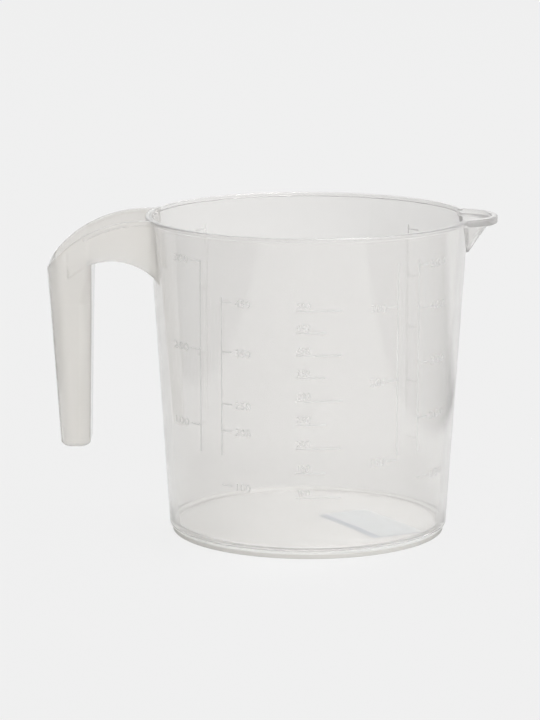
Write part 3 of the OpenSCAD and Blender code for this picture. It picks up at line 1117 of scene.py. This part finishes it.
@dataclass
class Scales:
    """All the raised scales of the jug.

    Volumes are counted from count_z, a little above the floor for its round corner.
    """

    wall: WallCone
    full_ml: float = 500.0
    full_z: float = 79.5
    count_z: float = 3.4
    low_ml: float = 175.0
    top_ml: float = 600.0
    inner_top_ml: float = 520.0
    outer_x: float = 33.8
    inner_x: float = 27.2
    side_stroke: float = 3.2
    middle_x: float = -4.4
    long_x: float = 9.6
    short_x: float = 4.8
    middle_text: Triple = (-4.2, 0.55, 2.1)
    numeral_gap: float = 3.7
    inner_gap: float = 4.0
    numeral_drop: float = 1.2
    upright_over: float = 0.2
    numeral_relief: float = 0.1
    numeral_bevel: float = 0.03
    digit_share: float = 0.72

    def fill_z(self, ml: float) -> float:
        """Height to which a volume fills the jug, whose space grows with the radius cubed.

        Args:
            ml: volume in millilitres.

        Returns:
            The height.
        """
        floor, full = self.wall.inner(self.count_z) ** 3, self.wall.inner(self.full_z) ** 3
        radius = (floor + (full - floor) * ml / self.full_ml) ** (1 / 3)
        return (radius + self.wall.thickness - self.wall.radius(0)) / self.wall.taper

    def beside(
        self, node: str, side: Side, x: float, way: int, numbers: dict[int, str],
        gap: float | None = None, top_ml: float | None = None,
    ) -> Column:
        """Scale with an upright line, its strokes and numerals on one side of it.

        Args:
            node: CAD node that its lines stand for.
            side: side of the jug.
            x: place of the upright line.
            way: side of the line that the strokes are on, -1 or 1.
            numbers: volume of each stroke in millilitres, to its numeral or nothing.
            gap: distance from the line to the numerals, or the usual one.
            top_ml: volume at the line's upper end, or the usual one.

        Returns:
            The scale.
        """
        ends = (x, x + way * self.side_stroke)
        start = x + way * (gap or self.numeral_gap)
        align = Align.LEFT if way > 0 else Align.RIGHT
        numerals = tuple(
            (text, start, self.fill_z(ml) - self.numeral_drop, align)
            for ml, text in numbers.items() if text
        )
        upright = (x, self.fill_z(self.low_ml), self.fill_z(top_ml or self.top_ml))
        strokes = {ml: (min(ends), max(ends)) for ml in numbers}
        return Column(node, side, strokes, upright, numerals)

    def middle(self) -> Column:
        """Lays out the scale in the middle of the front, with long strokes at hundreds.

        Returns:
            The scale.
        """
        marks = range(100, 501, 50)
        ends = {ml: (self.middle_x, self.short_x if ml % 100 else self.long_x) for ml in marks}
        x, up, text_h = self.middle_text
        numerals = tuple((str(ml), x, self.fill_z(ml) + up, Align.LEFT) for ml in marks)
        return Column("ml_scale", Side.FRONT, ends, None, numerals, text_h)

    def columns(self) -> list[Column]:
        """Lays out every scale with its strokes and numerals.

        Returns:
            The scales.
        """
        outer, inner, front, back = self.outer_x, self.inner_x, Side.FRONT, Side.BACK
        left_outer = {230: "100", 395: "200", 600: "300"}
        left_inner = {114: "100", 227: "200", 284: "250", 398: "350", 511: "450"}
        right_inner = {165: "100", 335: "200", 500: "300"}
        right_outer = {120: "100", 245: "200", 365: "300", 490: "400", 590: "500"}
        back_left = dict.fromkeys((150, 300, 450, 590), "")
        back_right = dict.fromkeys((120, 240, 360, 480, 590), "")
        return [
            self.middle(),
            self.beside("left_outer_scale", front, -outer, -1, left_outer),
            self.beside(
                "left_inner_scale", front, -inner, 1, left_inner, self.inner_gap, self.inner_top_ml
            ),
            self.beside("right_inner_scale", front, inner, -1, right_inner),
            self.beside("right_outer_scale", front, outer, 1, right_outer),
            self.beside("back_left_scale", back, -outer, -1, back_left),
            self.beside("back_right_scale", back, outer, 1, back_right),
        ]

    def lines(self, column: Column, group: StrokeTree) -> Object:
        """Makes the raised lines of one scale.

        Args:
            column: the scale.
            group: Geometry Nodes group that raises them.

        Returns:
            The lines as one plain mesh.
        """
        flat: list[Triple] = []
        if column.upright:
            x, z0, z1 = column.upright
            flat += [(x, 0, z0), (x, 0, z1 + self.upright_over)]
        for ml, ends in column.strokes.items():
            flat += [(x, 0, self.fill_z(ml)) for x in ends]
        return group.raised(column.node + "_lines", flat, column.side)

    def numerals(self, column: Column) -> Object:
        """Makes the raised numerals of one scale.

        Args:
            column: the scale.

        Returns:
            The numerals as one plain mesh.
        """
        points, faces = [], []
        start = 0
        for text, x, z, align in column.numerals:
            curve = bpy.data.curves.new("numeral", "FONT")
            curve.body = text
            curve.size = column.text_h / self.digit_share
            curve.align_x = align.value
            curve.extrude = self.numeral_relief / 2
            curve.bevel_depth = self.numeral_bevel
            curve.resolution_u = 3
            drawn = bpy.data.objects.new("numeral", curve)
            mesh = bpy.data.meshes.new_from_object(drawn)
            local = np.array([v.co for v in mesh.vertices])
            out = local[:, 2] + self.numeral_relief / 2
            flat = np.stack([local[:, 0] + x, out, local[:, 1] + z], axis=1)
            points.append(self.wall.wrap(flat, column.side))
            faces += [tuple(v + start for v in p.vertices) for p in mesh.polygons]
            start += len(local)
            bpy.data.objects.remove(drawn)
            bpy.data.curves.remove(curve)
            bpy.data.meshes.remove(mesh)
        name = column.node + "_numerals"
        return mesh_object(name, np.concatenate(points), faces, crease=40)


@dataclass
class FloorLabel:
    """Paper label stuck under the floor, with rounded corners and a slight waviness."""

    low: Pair = (-4.76, 6.5)
    size: Pair = (36.6, 18.0)
    turn: float = -62.0
    top_z: float = 1.01
    thickness: float = 0.12
    corner_r: float = 0.6
    wave: float = 0.004
    wave_turns: Pair = (0.21, 0.33)

    def outline(self) -> Array:
        """Corner points of the label's outline, lying flat and unturned.

        Returns:
            Rows of x, y.
        """
        r = self.corner_r
        (x0, y0), (length, width) = self.low, self.size
        x1, y1 = x0 + length - r, y0 + width - r
        centres = [(x1, y1), (x0 + r, y1), (x0 + r, y0 + r), (x1, y0 + r)]
        points: list[Pair] = []
        for quarter, centre in enumerate(centres):
            points += arc(*centre, r, np.radians(np.linspace(0, 90, 6) + 90 * quarter))
        return np.array(points)

    def build(self) -> Object:
        """Makes the label's mesh.

        Returns:
            The label.
        """
        edge = self.outline()
        middle = edge.mean(axis=0)
        loops = [middle + (edge - middle) * share for share in (1.0, 0.985, 0.8, 0.6, 0.4, 0.2)]
        count = len(edge)
        block = len(loops) * count + 1
        turn_x, turn_y = self.wave_turns
        flat, faces = [], []
        for level in (0, 1):
            height = self.top_z - self.wave - level * self.thickness
            for x, y in np.concatenate(loops):
                ripple = self.wave * math.sin(turn_x * x + 0.5) * math.sin(turn_y * y)
                flat.append((x, y, height + ripple))
            flat.append((*middle, height))
            start = level * block
            tip = start + block - 1
            sheet = joined_rings(start, len(loops), count)
            sheet += flipped(fan(tip, tip - count, count))
            faces += sheet if level else flipped(sheet)
        for j in range(count):
            k = (j + 1) % count
            faces.append((k, j, block + j, block + k))
        x, y, z = np.array(flat).T
        cos, sin = math.cos(math.radians(self.turn)), math.sin(math.radians(self.turn))
        points = np.stack([x * cos - y * sin, x * sin + y * cos, z], axis=1)
        return mesh_object("paper_label", points, faces, crease=30)


@dataclass
class Lamp:
    """One soft rectangular light, aimed at the jug. Sizes are in metres."""

    name: str
    place: Triple
    size: Pair
    watts: float

    def build(self, target: Triple) -> None:
        """Adds the lamp to the scene.

        Args:
            target: point in metres that it faces.
        """
        data = bpy.data.lights.new(self.name, "AREA")
        data.shape = "RECTANGLE"
        data.size, data.size_y = self.size
        data.energy = self.watts
        made = new_object(self.name, data)
        made.location = self.place
        x, y, z = np.array(target) - np.array(self.place)
        made.rotation_euler = (math.atan2(math.hypot(x, y), -z), 0.0, math.atan2(-x, y))


@dataclass
class Studio:
    """Pale floor, soft lamps, pale surroundings and the camera. Sizes are in metres."""

    floor_half: float = 9.0
    corner_cut: float = 1.3
    air_y: Pair = (-0.8, 0.8)
    air: Pair = (0.70, 0.89)
    aside_x: Pair = (0.08, 0.8)
    aside_loss: float = 0.24
    left_x: Pair = (-0.05, -0.6)
    left_loss: float = 0.3
    lit_air: float = 0.70
    lens: float = 165.70
    camera_place: Triple = (-0.012248, -1.04543, 0.25692)
    camera_tilt: float = 79.055
    target: Triple = (0.0, 0.0, 0.05)
    lamps: tuple[Lamp, ...] = (
        Lamp("key_lamp", (0.2, 1.5, 1.9), (0.35, 0.35), 12.0),
        Lamp("fill_lamp", (1.2, -1.2, 1.4), (1.6, 1.6), 16.5),
    )

    def floor(self) -> None:
        """Adds the floor, with rounded corners."""
        angles = np.radians(np.arange(0, 360, 5.0))
        reach = self.floor_half / METRES
        x = np.clip(self.corner_cut * np.cos(angles), -1, 1) * reach
        y = np.clip(self.corner_cut * np.sin(angles), -1, 1) * reach
        edge = np.stack([x, y, np.zeros_like(x)], axis=1)
        rings = [edge * share for share in (0.1, 0.4, 1.0)]
        count = len(angles)
        faces = [tuple(range(count)), *joined_rings(0, len(rings), count)]
        made = mesh_object("studio_floor", np.concatenate(rings), faces, crease=30)
        made.data.materials.append(StudioFloor().material())

    def surroundings(self) -> None:
        """Sets the world: paler behind the jug, greyer to the front and the sides."""
        world = bpy.data.worlds.new("studio_air")
        bpy.context.scene.world = world
        world.use_nodes = True
        book = NodeBook(world.node_tree)
        x, y, _ = book.split(book.out("ShaderNodeTexCoord", output="Generated"))
        level = book.ramp(y, *self.air_y, *self.air)
        aside = book.ramp(book.math("ABSOLUTE", x), *self.aside_x, 0.0, self.aside_loss)
        left = book.ramp(x, *self.left_x, 0.0, self.left_loss)
        level = book.math("SUBTRACT", book.math("SUBTRACT", level, aside), left)
        change = book.math("SUBTRACT", level, self.lit_air)
        strength = book.math("ADD", book.math("MULTIPLY", change, book.sight()), self.lit_air)
        white = (1.0, 1.0, 1.0, 1.0)
        air = book.out("ShaderNodeBackground", {"Color": white, "Strength": strength})
        book.add("ShaderNodeOutputWorld", {"Surface": air})

    def camera(self) -> None:
        """Adds the camera where the photograph was taken from."""
        data = bpy.data.cameras.new("photo_camera")
        data.lens = self.lens
        data.sensor_width = 36.0
        data.sensor_fit = "AUTO"
        data.clip_start = 0.05
        data.clip_end = 50.0
        made = new_object("photo_camera", data)
        made.location = self.camera_place
        made.rotation_euler = (math.radians(self.camera_tilt), 0.0, 0.0)
        bpy.context.scene.camera = made

    def build(self) -> None:
        """Adds floor, world, lamps and camera, and sets the plain view."""
        bpy.context.scene.view_settings.view_transform = "Standard"
        self.floor()
        self.surroundings()
        for lamp in self.lamps:
            lamp.build(self.target)
        self.camera()


def main() -> None:
    """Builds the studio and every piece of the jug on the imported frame."""
    logging.basicConfig(level=logging.INFO, format="%(name)s: %(message)s")
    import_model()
    Studio().build()

    plastic = FrostedPlastic("frosted_plastic").material()
    marks = FrostedPlastic(
        "raised_marks", tint=(0.905, 0.905, 0.90), edge_tint=(0.86, 0.86, 0.855), clearness=0.7
    ).material()
    handle_plastic = FrostedPlastic(
        "handle_plastic", tint=(0.887, 0.873, 0.851), edge_tint=(0.42, 0.46, 0.50), edge_power=6.0,
        clearness=0.62,
    ).material()
    # The foot's finish is milkier and rougher. Its brighter tint is a painted glow along the
    # floor's thick edge, and its darker low band is painted shade.
    painted_foot_plastic = FrostedPlastic(
        "foot_painted_glow_and_shade", tint=(0.96, 0.955, 0.945), edge_tint=(0.93, 0.925, 0.915),
        clearness=0.3, roughness=(0.2, 0.35), low_tint=(0.72, 0.705, 0.68),
    ).material()
    paper = LabelPaper("paper_label").material()

    wall = WallCone()
    body = JugShell(wall)
    shell = body.build()
    finish(
        shell, plastic, "frosted_plastic", "side_wall", "base_floor", "foot_ring",
        "gate_mark", "rim_bead", "pour_spout", "spout_lip",
    )
    body.dress_foot(shell, painted_foot_plastic)
    finish(
        TroughHandle(wall).build(), handle_plastic, "frosted_plastic", "handle_front_web",
        "handle_back_web", "handle_bridge_floor", "handle_front_flange", "handle_back_flange",
        "grip_shell", "grip_end",
    )
    scales = Scales(wall)
    group = StrokeTree(wall, marks)
    group.build()
    for column in scales.columns():
        finish(scales.lines(column, group), marks, "raised_marks", column.node)
        if column.numerals:
            finish(scales.numerals(column), marks, "raised_marks")
    finish(FloorLabel().build(), paper, "paper_label", "base_label")


if __name__ == "__main__":
    main()
